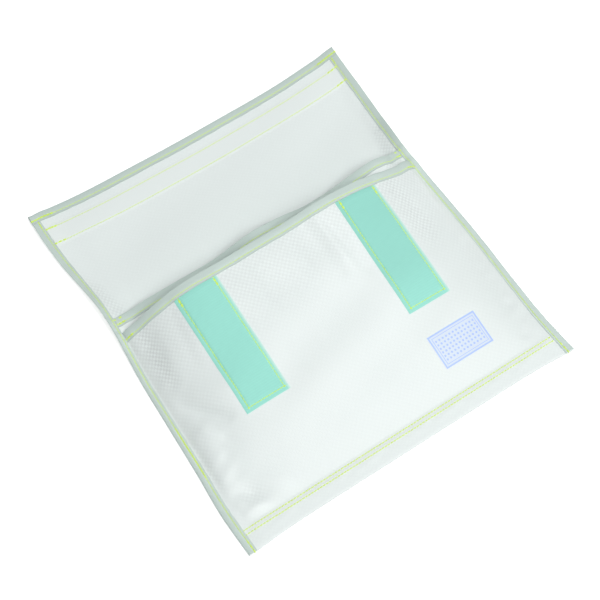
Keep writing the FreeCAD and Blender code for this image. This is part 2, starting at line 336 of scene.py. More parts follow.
def grid_faces(rows, columns, first):
    i, j = np.meshgrid(np.arange(rows - 1), np.arange(columns - 1), indexing="ij")
    corner = (first + i * columns + j).ravel()
    return np.stack([corner, corner + 1, corner + columns + 1, corner + columns], axis=1)


def rim_faces(rows, columns):
    """Narrow faces that join the two skins of a shell all round."""
    number = np.arange(rows * columns).reshape(rows, columns)
    loop = np.concatenate([number[0], number[1:, -1], number[-1, -2::-1], number[-2::-1, 0]])
    a, b = loop[:-1], loop[1:]
    return np.stack([b, a, a + rows * columns, b + rows * columns], axis=1)


def shell(name, outer, inner, material, along=None, weave_and_darkening=FAINT):
    """Closed piece of cloth or tape between two skins, each a grid of places [row, column, xyz].
    Its UV map is the flat cloth in metres: U across the rows, V along them. A mask is kept at each point for
    the
    material: how strongly a weave shows, where the cloth also comes out a little darker as painted shade; 1
    on a binding tape's borders for painted shade there; or how much darker a loop tape is."""
    rows, columns = outer.shape[:2]
    points = np.concatenate([outer.reshape(-1, 3), inner.reshape(-1, 3)]) / 1000
    faces = np.concatenate([grid_faces(rows, columns, 0), grid_faces(rows, columns, rows * columns)[:, ::-1],
                            rim_faces(rows, columns)])
    a, b, c, d = (points[faces[:, i]] for i in range(4))
    if np.sum(a * np.cross(b, c)) + np.sum(a * np.cross(c, d)) < 0:
        faces = faces[:, ::-1]
    mesh = bpy.data.meshes.new(name)
    mesh.from_pydata(points.tolist(), [], faces.tolist())
    middle = (outer + inner) / 2
    v = lengths(middle, 0) if along is None else along
    flat = np.stack([lengths(middle, 1), np.broadcast_to(v, (rows, columns))], axis=-1) / 1000
    flat = np.tile(flat.reshape(-1, 2), (2, 1))[faces.ravel()]
    mesh.uv_layers.new(name="flat_cloth").data.foreach_set("uv", flat.astype(np.float32).ravel())
    strength = np.tile(np.broadcast_to(weave_and_darkening, (rows, columns)).ravel(), 2)
    mesh.attributes.new("weave_and_darkening", "FLOAT", "POINT").data.foreach_set("value", strength.astype(np.float32))
    mesh.polygons.foreach_set("use_smooth", np.ones(len(faces), bool))
    mesh.set_sharp_from_angle(angle=math.radians(50))
    mesh.materials.append(material)
    mesh.update()
    return new_object(name, mesh)


def cloth_sheet(name, middle, material, along, weave_and_darkening):
    """Closed cloth of even thickness about a grid of places."""
    normal = np.cross(np.gradient(middle, axis=1), np.gradient(middle, axis=0))
    normal *= CLOTH / 2 / np.linalg.norm(normal, axis=-1, keepdims=True)
    return shell(name, middle + normal, middle - normal, material, along, weave_and_darkening)


def bend_at_creases(piece):
    """Bake the place of a piece of the bag or of the flap into its mesh."""
    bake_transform(piece)


# ---- Nodes ----

HALF_CIRCLE = math.pi                                 # named, because Wiring has a math of its own


class Wiring:
    """Adds nodes to a tree and joins them."""

    def __init__(self, tree):
        self.tree = tree

    def put(self, socket, value):
        if isinstance(value, bpy.types.NodeSocket):
            self.tree.links.new(value, socket)
        elif value is not None:
            socket.default_value = value

    def add(self, kind, *values, named=None, **settings):
        """New node with its settings, and values or sockets for its inputs: in order, where None skips one,
        or by title or number in named."""
        node = self.tree.nodes.new(kind)
        for name, value in settings.items():
            setattr(node, name, value)
        for socket, value in zip([s for s in node.inputs if s.enabled], values):
            self.put(socket, value)
        for title, value in (named or {}).items():
            self.put(node.inputs[title], value)
        return node

    def math(self, operation, *values):
        return self.add("ShaderNodeMath", *values, operation=operation).outputs[0]

    def vectors(self, operation, *values):
        return self.add("ShaderNodeVectorMath", *values, operation=operation).outputs[0]

    def times(self, a, b):
        return self.math("MULTIPLY", a, b)

    def arches(self, value, turn=HALF_CIRCLE):
        """Round arches between 0 and 1, one for each step of 1 where turn is half a circle."""
        return self.math("ABSOLUTE", self.math("SINE", self.times(value, turn)))

    def span(self, value, *ends):
        """Where a value lies between two ends, as 0 to 1 or between two other ends."""
        return self.add("ShaderNodeMapRange", value, *ends).outputs[0]

    def parts(self, vector):
        return self.add("ShaderNodeSeparateXYZ", vector).outputs

    def noise(self, vector, detail, roughness, lacunarity):
        """Noise at Blender's own scale of 5, nearly even where lacunarity is below 1 and detail is high."""
        return self.add("ShaderNodeTexNoise", vector, None, detail, roughness, lacunarity).outputs

    def mix(self, share, a, b):
        """Mix two colours."""
        return self.add("ShaderNodeMix", named={0: share, 6: a, 7: b}, data_type="RGBA").outputs[2]

    def laid_over(self, colour, *layers):
        """Lay more colours over a colour: (mask, its share, colour)."""
        for mask, share, over in layers:
            colour = self.mix(self.times(mask, share), colour, over)
        return colour

    def blend_values(self, share, a, b):
        return self.add("ShaderNodeMix", named={0: share, 2: a, 3: b}, data_type="FLOAT").outputs[0]

    def direct_rays(self):
        """1 where the camera sees a thing itself or in gloss or glass."""
        seen = self.add("ShaderNodeLightPath").outputs
        return self.math("ADD", self.math("ADD", seen["Is Camera Ray"], seen["Is Glossy Ray"]),
                         seen["Is Transmission Ray"])


def new_group(name, inputs, outputs):
    """Shader group with a vector and named values as inputs: the group, its wiring and its two ends."""
    group = bpy.data.node_groups.new(name, "ShaderNodeTree")
    group.interface.new_socket("Vector", in_out="INPUT", socket_type="NodeSocketVector")
    for title, default in inputs.items():
        socket = group.interface.new_socket(title, in_out="INPUT", socket_type="NodeSocketFloat")
        socket.default_value = default
    for title in outputs:
        group.interface.new_socket(title, in_out="OUTPUT", socket_type="NodeSocketFloat")
    w = Wiring(group)
    return group, w, w.add("NodeGroupInput").outputs, w.add("NodeGroupOutput").inputs


def woven_cells():
    """Basket weave: height of the yarns, how dark each cell looks, and the gaps between the cells."""
    group, w, given, result = new_group(
        "woven_cells", {"Cell": 0.0026, "Yarns": 3.0}, ("Height", "Shade", "Gap"))
    wander = w.vectors("SUBTRACT", w.noise(given["Vector"], 130.0, 3.0, 0.6)["Color"], (0.5, 0.5, 0.5))
    place = w.vectors("ADD", given["Vector"], w.vectors("MULTIPLY", wander, (0.0020, 0.0020, 0.0)))
    place = w.add("ShaderNodeVectorMath", operation="SCALE",
                  named={"Vector": place, "Scale": w.math("DIVIDE", 1.0, given["Cell"])}).outputs[0]
    parts = w.parts(place)
    direction = w.math("FLOORED_MODULO", w.math("ADD", *(w.math("FLOOR", part) for part in parts[:2])), 2.0)
    round_across, round_along = (w.math("POWER", w.arches(part), 0.45) for part in parts[:2])
    strand = w.times(given["Yarns"], math.pi)
    warp, weft = (w.times(cell, w.math("MULTIPLY_ADD", w.arches(part, strand), 0.3, 0.7))
                  for cell, part in ((round_along, parts[0]), (round_across, parts[1])))
    chance = w.add("ShaderNodeTexWhiteNoise", w.vectors("FLOOR", place), noise_dimensions="3D").outputs[0]
    streaks = w.noise(w.vectors("MULTIPLY", given["Vector"], (1100.0, 55.0, 1.0)), 1.0, 2.0, 0.6)[0]
    chance = w.blend_values(0.45, chance, w.span(streaks, 0.35, 0.65))
    w.put(result["Height"], w.blend_values(direction, warp, weft))
    w.put(result["Shade"], w.blend_values(0.42, direction, chance))
    w.put(result["Gap"], w.math("SUBTRACT", 1.0, w.math("MINIMUM", round_across, round_along)))
    return group


def tape_ribs():
    """Fine ribs across a tape, with a slight twill slant."""
    group, w, given, result = new_group("tape_ribs", {"Pitch": 0.0011, "Slant": 0.35}, ("Height", "Speckle"))
    parts = w.parts(given["Vector"])
    run = w.math("DIVIDE", w.math("MULTIPLY_ADD", parts[0], given["Slant"], parts[1]), given["Pitch"])
    yarn = w.arches(w.math("DIVIDE", parts[0], given["Pitch"]))
    w.put(result["Height"], w.math("MULTIPLY_ADD", yarn, 0.35, w.times(w.arches(run), 0.65)))
    w.put(result["Speckle"], w.noise(given["Vector"], 900.0, 2.0, 0.6)[0])
    return group


def soft_mottle():
    """Very soft tone about 0.5, from two noises with details of their own."""
    group, w, given, result = new_group("soft_mottle", {"Broad": 14.0, "Fine": 160.0}, ("Tone",))
    broad = w.noise(given["Vector"], given["Broad"], 3.0, 0.5)[0]
    fine = w.noise(given["Vector"], given["Fine"], 2.0, 0.5)[0]
    w.put(result["Tone"], w.blend_values(0.4, broad, fine))
    return group


def loop_nap():
    """Pile of tiny loops in faint rows across a tape: height and tone."""
    group, w, given, result = new_group("loop_nap", {"Row": 0.0026}, ("Height", "Rows"))
    waver = w.noise(given["Vector"], 95.0, 3.0, 0.6)[0]
    run = w.math("MULTIPLY_ADD", waver, 0.0070, w.parts(given["Vector"])[1])
    rows = w.math("SINE", w.times(w.math("DIVIDE", run, given["Row"]), 2 * math.pi))
    curls = w.add("ShaderNodeTexVoronoi", given["Vector"], named={"Detail": 1500.0}).outputs["Distance"]
    w.put(result["Rows"], w.math("MULTIPLY_ADD", rows, 0.5, 0.5))
    w.put(result["Height"], w.math("MULTIPLY_ADD", rows, 0.12, curls))
    return group


def hook_rows():
    """Tiny moulded hooks standing in rows: height."""
    group, w, given, result = new_group("hook_rows", {"Pitch": 0.0016}, ("Height",))
    parts = w.parts(given["Vector"])
    across, along = (w.arches(w.math("DIVIDE", part, given["Pitch"]), math.pi / spacing)
                     for part, spacing in ((parts[0], 1.0), (parts[1], 0.8)))
    w.put(result["Height"], w.math("POWER", w.times(across, along), 2.0))
    return group


def printed_badge():
    """Where the small badge is printed on the front: 1 in its ink, thin frame and rows of dots."""
    group, w, given, result = new_group(
        "printed_badge", {"Across": 0.0, "Along": 0.0, "Half Width": 0.0285, "Half Height": 0.018},
        ("Ink", "Ground"))
    parts = w.parts(given["Vector"])
    x, y = w.math("SUBTRACT", parts[0], given["Across"]), w.math("SUBTRACT", parts[1], given["Along"])
    reach = w.math("MAXIMUM", w.math("SUBTRACT", w.math("ABSOLUTE", x), given["Half Width"]),
                   w.math("SUBTRACT", w.math("ABSOLUTE", y), given["Half Height"]))
    frames = [w.math("LESS_THAN", w.math("ABSOLUTE", w.math("ADD", reach, inset)), half_line)
              for inset, half_line in ((0.0008, 0.0008), (0.0036, 0.0003))]
    pitch = 0.0041
    squares = [w.math("POWER", w.math("SUBTRACT", w.math("FRACT", w.math("DIVIDE", value, pitch)), 0.5), 2.0)
               for value in (x, y)]
    dots = w.times(w.math("LESS_THAN", w.math("ADD", *squares), 0.075), w.math("LESS_THAN", reach, -0.0052))
    w.put(result["Ink"], w.math("MAXIMUM", w.math("MAXIMUM", *frames), dots))
    w.put(result["Ground"], w.math("LESS_THAN", reach, 0.0))
    return group


def colours():
    return bpy.context.scene.bag_colours


def sizes():
    return bpy.context.scene.bag_sizes


def toned(colour, share=1.0):
    """Colour for a socket, made lighter or darker."""
    return (*(value * share for value in colour), 1.0)


def group_of(build):
    """The node group that a function builds under its own name, made when first asked for."""
    return bpy.data.node_groups.get(build.__name__) or build()


def material_of(build):
    """The material that a function builds under its own name, made when first asked for."""
    return bpy.data.materials.get(build.__name__) or build()


def new_material(name, **sockets):
    """Material with a Principled surface whose plain values are set on its own sockets."""
    material = bpy.data.materials.new(name)
    material.use_nodes = True
    surface = material.node_tree.nodes["Principled BSDF"]
    for title, value in sockets.items():
        surface.inputs[title.replace("_", " ")].default_value = value
    return material, Wiring(material.node_tree), surface


def texture_place(w, kind="UV"):
    return w.add("ShaderNodeTexCoord").outputs[kind]


def relief_at(w):
    """What shell() keeps at each point."""
    return w.add("ShaderNodeAttribute", attribute_name="weave_and_darkening").outputs["Fac"]


def placed(w, build, vector, **values):
    """A shader group in a material, with its own values."""
    return w.add("ShaderNodeGroup", node_tree=group_of(build), named={"Vector": vector, **values}).outputs


def finish(w, surface, colour, roughness, *bumps):
    """Wire a surface's colour, roughness and bumps one on another: (height, distance in metres, strength)."""
    w.put(surface.inputs["Base Color"], colour)
    w.put(surface.inputs["Roughness"], roughness)
    normal = None
    for height, distance, strength in bumps:
        named = {"Height": height, "Distance": distance, "Strength": strength, "Normal": normal}
        normal = w.add("ShaderNodeBump", named=named).outputs[0]
    w.put(surface.inputs["Normal"], normal)


def glass_cloth(name, plain_painted_tone, badge=False):
    """White woven glass cloth. The tone function given wires the colour of the cloth where its weave doesn't
    show, with painted light and shade in it.
    """
    material, w, surface = new_material(name)
    flat = texture_place(w)
    weave = placed(w, woven_cells, flat, Cell=sizes().weave_cell)
    tone = placed(w, soft_mottle, flat, Broad=9.0, Fine=240.0)["Tone"]
    white = colours().cloth
    cells = w.mix(weave["Shade"], toned(white, 1.04), toned(white, 0.79))
    cells = w.laid_over(cells, (weave["Gap"], 0.15, toned(white, 0.68)))
    # Where the mesh's mask is high the weave shows, and its cells average a little darker than the plain
    # cloth: painted shade on the slopes.
    colour = w.mix(relief_at(w), plain_painted_tone(w, white, *w.parts(flat)[:2]), cells)
    colour = w.laid_over(colour, (tone, 0.10, toned(white, 0.8)))
    if badge:
        print_of = placed(w, printed_badge, flat, Across=BADGE_PLACE[0] / 1000, Along=BADGE_PLACE[1] / 1000)
        ink = toned(colours().badge)
        colour = w.laid_over(colour, (print_of["Ground"], 0.30, ink), (print_of["Ink"], 0.85, ink))
    gloss = w.math("MULTIPLY_ADD", tone, 0.2, 0.30)
    finish(w, surface, colour, w.math("MULTIPLY_ADD", weave["Shade"], -0.05, gloss),
           (weave["Height"], 0.00007, 1.0), (tone, 0.0006, 0.25))
    return material


def front_tone(w, white, across, along):
    """Painted shade: the front is a little darker than the back, and its smooth lower part more so."""
    in_front = w.span(along, (BOTTOM - 3) / 1000, BOTTOM / 1000)
    above_seam, low = w.span(along, -0.200, -0.188), w.span(along, -0.010, -0.095)
    inside = w.span(across, -0.165, -0.110)
    plain = w.mix(in_front, toned(white), toned(white, 0.94))
    return w.mix(w.times(w.times(above_seam, low), inside), plain, toned(white, 0.90))


def flap_tone(w, white, across, along):
    """Painted light: the flap is a little brighter towards its end."""
    return w.mix(w.span(along, 0.12, 0.20), toned(white), toned(white, 1.04))


def printed_glass_cloth():
    return glass_cloth("printed_glass_cloth", front_tone, badge=True)


def woven_glass_cloth():
    return glass_cloth("woven_glass_cloth", flap_tone)


def ribbed_tape():
    """Grey-green ribbed binding tape, with painted shade along its borders and its fold."""
    material, w, surface = new_material("ribbed_tape", Sheen_Weight=0.1, Sheen_Roughness=0.4)
    flat = texture_place(w)
    ribs = placed(w, tape_ribs, flat, Pitch=sizes().tape_rib)
    tone = placed(w, soft_mottle, flat, Broad=25.0, Fine=400.0)["Tone"]
    base = colours().tape
    colour = w.mix(w.math("SUBTRACT", 1.0, ribs["Height"]), toned(base), toned(base, 0.78))
    # The last layer is painted shade from the mesh's mask: along the tape's borders, and on the side tapes
    # half as strong along the fold.
    colour = w.laid_over(colour, (ribs["Speckle"], 0.3, toned(base, 1.18)), (tone, 0.25, toned(base, 0.85)),
                         (relief_at(w), 0.6, toned(base, 0.68)))
    finish(w, surface, colour, w.math("MULTIPLY_ADD", tone, 0.2, 0.42),
           (ribs["Height"], 0.00018, 0.8), (tone, 0.0005, 0.2))
    return material


def napped_loops():
    """Mint loop tape: a napped middle, darker in places, between soft woven selvages."""
    material, w, surface = new_material("napped_loops", Sheen_Weight=0.3, Sheen_Roughness=0.5)
    flat = texture_place(w)
    nap = placed(w, loop_nap, flat, Row=0.0026)
    tone = placed(w, soft_mottle, flat, Broad=55.0, Fine=500.0)["Tone"]
    base = colours().loop
    across = w.parts(flat)[0]
    half = (LOOP_OUTER - LOOP_INNER) / 2000
    selvage, rim = w.span(across, half - 0.0052, half - 0.0015), w.span(across, half - 0.0026, half)
    patches = w.span(w.noise(flat, 28.0, 2.0, 0.5)[0], 0.42, 0.62, 0.08, 0.60)
    # The mesh's mask makes the upper part of the right tape darker.
    colour = w.laid_over(toned(base, 1.01), (nap["Rows"], patches, toned(base, 0.86)),
                         (tone, 0.6, toned(base, 1.10)), (relief_at(w), 0.7, toned(base, 0.90)),
                         (selvage, 0.35, toned(colours().loop_edge)), (rim, 0.50, toned(colours().cloth)))
    finish(w, surface, colour, w.math("MULTIPLY_ADD", tone, 0.2, 0.7),
           (nap["Height"], 0.0003, 0.7), (tone, 0.0005, 0.3))
    return material


def moulded_hooks():
    """White hook tape, a moulded strip of tiny hooks."""
    material, w, surface = new_material("moulded_hooks")
    flat = texture_place(w)
    hooks = placed(w, hook_rows, flat, Pitch=0.0016)["Height"]
    tone = placed(w, soft_mottle, flat, Broad=20.0, Fine=300.0)["Tone"]
    base = colours().hook
    colour = w.laid_over(w.mix(hooks, toned(base, 0.985), toned(base)), (tone, 0.1, toned(base, 0.85)))
    finish(w, surface, colour, w.math("MULTIPLY_ADD", tone, 0.25, 0.35), (hooks, 0.0001, 0.6))
    return material


def sewing_thread():
    """Fluorescent yellow sewing thread, with a faint painted glow: its own colour given off as emission."""
    material, w, surface = new_material("sewing_thread", Sheen_Weight=0.2, Emission_Strength=0.12)
    place = texture_place(w, "Object")
    twist = w.noise(place, 1400.0, 2.0, 0.5)[0]
    tone = placed(w, soft_mottle, place, Broad=30.0, Fine=700.0)["Tone"]
    base = colours().thread
    colour = w.laid_over(toned(base), (twist, 0.4, toned(base, 0.8)))
    # Painted glow: the thread gives off its own colour faintly, though it is no lamp.
    w.put(surface.inputs["Emission Color"], colour)
    finish(w, surface, colour, w.math("MULTIPLY_ADD", tone, 0.2, 0.4), (twist, 0.0002, 0.6))
    return material


# ---- Cloths ----

def bottom_fold(x):
    """The cloth going round from the front to the back at the bottom of the bag."""
    top, low = front(x, FOLD_Y), back(x, FOLD_Y)
    middle, half = (top + low) / 2, (top - low) / 2
    reach = np.array((0.0, -1.0, 0.0)) * np.linalg.norm(half, axis=-1, keepdims=True) * 1.15
    turns = np.radians(np.linspace(0, 180, 13))[1:-1]
    return np.concatenate([middle + half * math.cos(turn) + reach * math.sin(turn) for turn in turns])


def make_outer_cloth():
    """Front, bottom fold, back and strip in one cloth, and the flap that goes on from it."""
    x = columns(CLOTH_EDGE)
    front_y = rows_between(FRONT_MOUTH - TAPE, FOLD_Y, 2.5)
    back_y = rows_between(FOLD_Y, STRIP_MIDDLE, 4.0)
    turns = bottom_fold(x)
    fold_run = 6
    path = np.concatenate([front_y, np.linspace(FOLD_Y, FOLD_Y - fold_run, len(turns) + 2)[1:-1, None],
                           2 * FOLD_Y - fold_run - back_y])
    middle = np.concatenate([front(x, front_y), turns, back(x, back_y)])
    weave_and_darkening = np.full(middle.shape[:2], FAINT)
    weave_and_darkening[:len(front_y)] = weave_on_front(x, front_y)
    weave_and_darkening[-len(back_y):] = weave_on_slopes(back, x, back_y)
    cloth = cloth_sheet("outer_cloth_bag", middle, material_of(printed_glass_cloth), path, weave_and_darkening)
    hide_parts("front_panel", "back_panel")
    bend_at_creases(cloth)
    flap_y = rows_between(STRIP_MIDDLE, FLAP_END - TAPE, 3.0)
    flap = cloth_sheet("outer_cloth_flap", back(x, flap_y), material_of(woven_glass_cloth), flap_y,
                       weave_on_slopes(back, x, flap_y, 0.8))
    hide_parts("fold_strip", "flap_panel")
    bend_at_creases(flap)


def make_divider_cloth():
    """The second cloth, between the two pockets."""
    x = columns(CLOTH_EDGE, 3.2)
    y = rows_between(low_corner("divider_panel")[1], DIVIDER_MOUTH - TAPE, 3.0)
    cloth = cloth_sheet("divider_cloth", divider(x, y), material_of(woven_glass_cloth), y,
                        weave_on_slopes(divider, x, y))
    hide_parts("divider_panel")
    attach(cloth, "bag")


# ---- Tapes ----

def tape_face(border, turn, stitch, steps):
    """One face of a folded tape: places from border to fold, the valley of the stitches and the padding."""
    place = border + (turn - border) * np.linspace(0, 1, steps)[None]
    valley = 0.3 * hill(place, stitch, STITCH_DIP)
    padding = 0.3 * np.sin(math.pi * np.clip((place - stitch) / (turn - stitch), 0, 1))
    return place, valley, padding


def cloths_in_seam(y):
    """Thickness of what a side tape holds, with a hump where it runs over a mouth tape."""
    thickness = 3 * CLOTH
    for mouth, share in ((FRONT_MOUTH, 1.0), (DIVIDER_MOUTH, 0.8)):
        hump = fade(y, mouth - 13, mouth - 10) - fade(y, mouth - 1, mouth + 2)
        thickness = thickness + TAPE * share * hump - CLOTH * fade(y, mouth, mouth + 3)
    return thickness


def side_tape_width(side, y):
    return sizes().side_tape_width * 1000 * through(y, LEFT_TAPE if side < 0 else RIGHT_TAPE)


def end_tape_width():
    return sizes().end_tape_width * 1000


def side_tape_top(y):
    """Height of the middle of a side tape's upper layer."""
    return 1.5 * TAPE + cloths_in_seam(y)


def side_stitch_x(side, y):
    return HALF_WIDTH - side_tape_width(side, y) + SIDE_SEWN_IN


def side_tape(name, side, y0, y1):
    """Tape folded over one side, round from top to underside."""
    y = rows_between(y0, y1, COLUMN_STEP)
    top, low = side_tape_top(y), np.full_like(y, TAPE / 2)
    half, level = (top - low) / 2, (top + low) / 2
    border = HALF_WIDTH - side_tape_width(side, y) + BORDER_WAVER * ripple(y, 40 * side + y, 13)
    turn = HALF_WIDTH - TAPE / 2 - half
    flat_x, valley, padding = tape_face(border, turn, side_stitch_x(side, y), 11)
    skins = []
    for offset in (TAPE / 2, -TAPE / 2):
        x = np.concatenate([flat_x, turn + (half + offset) * np.cos(FOLD_TURN), flat_x[:, ::-1]], axis=1)
        z = np.concatenate([top + padding - valley + offset, level + (half + offset) * np.sin(FOLD_TURN),
                            np.maximum(low + 0.6 * valley[:, ::-1] - offset, 0)], axis=1)
        skins.append(settled(side * x, y, z))
    # Mask for painted shade: full along both borders of the tape, half along the middle of its fold.
    edges = np.zeros(skins[0].shape[1])
    edges[[0, -1]] = 1
    edges[len(edges) // 2] = 0.5
    return shell(name, *skins, material_of(ribbed_tape), weave_and_darkening=edges)


def make_side_tapes():
    """Both side tapes, each split at the middle of the strip."""
    for side, word in SIDES:
        for part, y0, y1 in STRETCHES:
            if part == "bag":
                piece = side_tape(f"side_tape_{word}_{part}", side, y0 - 0.4, y1)
                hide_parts(f"side_binding_{word}")
            else:
                piece = side_tape(f"side_tape_{word}_{part}", side, y0, FLAP_END - end_tape_width() + 3)
                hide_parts(f"strip_binding_{word}", f"flap_binding_{word}")
            bend_at_creases(piece)


def over_loops(x, y):
    """How far the front mouth tape is lifted where a loop tape runs under it."""
    side = np.abs(x)
    loops_below = fade(side, LOOP_INNER - 2, LOOP_INNER) - fade(side, LOOP_OUTER, LOOP_OUTER + 2)
    return 0.8 * loops_below * (1 - fade(y, FRONT_MOUTH - 8, FRONT_MOUTH - 3))


def over_side_tapes(x, y):
    """How far the flap's end tape is lifted by the side tapes."""
    return 0.75 * TAPE * fade(np.abs(x), SIDE_SEAM - 3, SIDE_SEAM + 1) + 0 * y


def over_nothing(x, y):
    return 0 * (x + y)


def edge_tape(name, cloth, edge_y, reach, rise):
    """Tape folded over a cloth's edge across the bag; rise gives how far it is lifted from below."""
    x = columns(reach).T
    gap = (CLOTH + TAPE) / 2
    border = edge_y - end_tape_width()
    turn = edge_y - gap - TAPE / 2
    flat_y, valley, padding = tape_face(border + BORDER_WAVER * ripple(x, edge_y, 15), turn,
                                        border + EDGE_SEWN_IN, 10)
    skins = []
    for radius in (gap + TAPE / 2, gap - TAPE / 2):
        y = np.concatenate([flat_y, turn + radius * np.cos(FOLD_TURN) + 0 * x, flat_y[:, ::-1]], axis=1)
        over, round_fold = radius + padding - valley + rise(x, flat_y), radius * np.sin(FOLD_TURN) + 0 * x
        under = -(radius - 0.5 * valley[:, ::-1])
        skins.append(above(cloth, x, y, np.concatenate([over, round_fold, under], axis=1)))
    # Mask for painted shade along both borders of the tape.
    edges = np.zeros(skins[0].shape[1])
    edges[[0, -1]] = 1
    return shell(name, *skins, material_of(ribbed_tape), weave_and_darkening=edges)


def make_edge_tapes():
    """Tapes on the two mouths and on the end of the flap."""
    mouth_reach = SIDE_SEAM + 0.8
    for name, cloth, edge_y, reach, rise, node, body in (
            ("front_mouth_tape", front, FRONT_MOUTH, mouth_reach, over_loops, "front_mouth_binding", "bag"),
            ("divider_mouth_tape", divider, DIVIDER_MOUTH, mouth_reach, over_nothing, "divider_mouth_binding",
             "bag"),
            ("flap_end_tape", back, FLAP_END, HALF_WIDTH, over_side_tapes, "flap_end_binding", "flap")):
        piece = edge_tape(name, cloth, edge_y, reach, rise)
        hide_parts(node)
        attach(piece, body)


def make_hook_tape():
    """Band of hooks across the inner face of the flap."""
    x, y = columns(SIDE_SEAM - 0.3), rows_between(HOOK_LOW, HOOK_HIGH, 0.9)
    inset = np.minimum(y - HOOK_LOW, HOOK_HIGH - y)
    top = CLOTH / 2 + 0.10 + 0.35 * fade(inset, 0.0, 2.6) - 0.2 * hill(inset, HOOK_SEWN_IN, STITCH_DIP)
    piece = shell("hook_tape_band", above(back, x, y, top), above(back, x, y, CLOTH / 2 - SUNK),
                  material_of(moulded_hooks))
    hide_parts("hook_tape")
    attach(piece, "flap")


def make_loop_tapes():
    """The two wide tapes of loops on the front; the upper part of the right one is coloured darker."""
    stitch = sizes().loop_stitch_inset * 1000
    top_y = FRONT_MOUTH - end_tape_width() + 3
    y = rows_between(LOOP_LOW, top_y, 1.6)
    for side, word in SIDES:
        x = np.linspace(*sorted((side * LOOP_INNER, side * LOOP_OUTER)), 51)[None]
        inset = np.minimum(np.minimum(np.abs(x) - LOOP_INNER, LOOP_OUTER - np.abs(x)), y - LOOP_LOW)
        pile = LOOP_WEB + 0.75 * fade(inset, stitch - 0.6, stitch + 2.4)
        pile = pile - 0.35 * hill(inset, stitch, STITCH_DIP) + 0.12 * ripple(x, y, 9) * fade(inset, 0, 4)
        pile = np.minimum(pile, LOOP_WEB + 0.9 * fade(top_y - 3 - y, 0, 4))
        edge = 0.35 * (1 - fade(inset, 0, 0.8))
        # The upper part of the right tape is coloured darker.
        darker_top = (0.9 if word == "right" else 0.0) * (1 - fade(-y, 50, 95))
        piece = shell(f"loop_tape_patch_{word}", above(front, x, y, CLOTH / 2 + pile - edge),
                      above(front, x, y, CLOTH / 2 - SUNK), material_of(napped_loops),
                      weave_and_darkening=darker_top)
        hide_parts(f"loop_tape_{word}")
        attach(piece, "bag")


# ---- Stitching ----

def stitch_rows():
    """Geometry nodes that lay one stitch after another along rows of points."""
    tree = bpy.data.node_groups.new("stitch_rows", "GeometryNodeTree")
    sockets = [("Geometry", "Geometry"), ("Pitch", "Float"), ("Length", "Float"), ("Thickness", "Float"),
               ("Unevenness", "Float"), ("Seed", "Int"), ("Thread", "Material")]
    for title, kind in sockets:
        tree.interface.new_socket(title, in_out="INPUT", socket_type="NodeSocket" + kind)
    tree.interface.new_socket("Geometry", in_out="OUTPUT", socket_type="NodeSocketGeometry")
    w = Wiring(tree)
    given, result = w.add("NodeGroupInput").outputs, w.add("NodeGroupOutput").inputs
    curve = w.add("GeometryNodeMeshToCurve", given["Geometry"]).outputs[0]
    points = w.add("GeometryNodeCurveToPoints", named={"Curve": curve, "Length": given["Pitch"]},
                   mode="LENGTH").outputs
    up = w.add("GeometryNodeInputNamedAttribute", "up", data_type="FLOAT_VECTOR").outputs["Attribute"]
    along = w.add("FunctionNodeAlignRotationToVector", named={"Vector": points["Tangent"]},
                  axis="Z").outputs[0]
    turned = w.add("FunctionNodeAlignRotationToVector", named={"Rotation": along, "Vector": up}, axis="X",
                   pivot_axis="Z").outputs[0]
    slip = w.add("FunctionNodeRandomValue", data_type="FLOAT_VECTOR",
                 named={"Seed": given["Seed"], 0: (-1.0, -1.0, -1.0), 1: (1.0, 1.0, 1.0)}).outputs[0]
    tilt = w.add("ShaderNodeVectorMath", operation="SCALE",
                 named={"Vector": slip, "Scale": given["Unevenness"]}).outputs[0]
    tilt = w.add("FunctionNodeEulerToRotation", tilt).outputs[0]
    rotation = w.add("FunctionNodeRotateRotation", turned, tilt, rotation_space="LOCAL").outputs[0]
    bead = w.add("GeometryNodeMeshUVSphere", 8, 6, 0.5).outputs[0]
    size = w.add("ShaderNodeCombineXYZ", w.times(given["Thickness"], 0.75), given["Thickness"],
                 given["Length"]).outputs[0]
    stitches = w.add("GeometryNodeInstanceOnPoints", named={
        "Points": points["Points"], "Instance": bead, "Rotation": rotation, "Scale": size}).outputs[0]
    real = w.add("GeometryNodeRealizeInstances", stitches).outputs[0]
    smooth = w.add("GeometryNodeSetShadeSmooth", real).outputs[0]
    dressed = w.add("GeometryNodeSetMaterial", named={"Geometry": smooth, "Material": given["Thread"]})
    w.put(result[0], dressed.outputs[0])
    return tree


def set_inputs(modifier, **values):
    """Set a nodes modifier's inputs by their sockets' identifiers."""
    for item in modifier.node_group.interface.items_tree:
        if item.item_type == "SOCKET" and item.in_out == "INPUT" and item.name in values:
            modifier[item.identifier] = values[item.name]


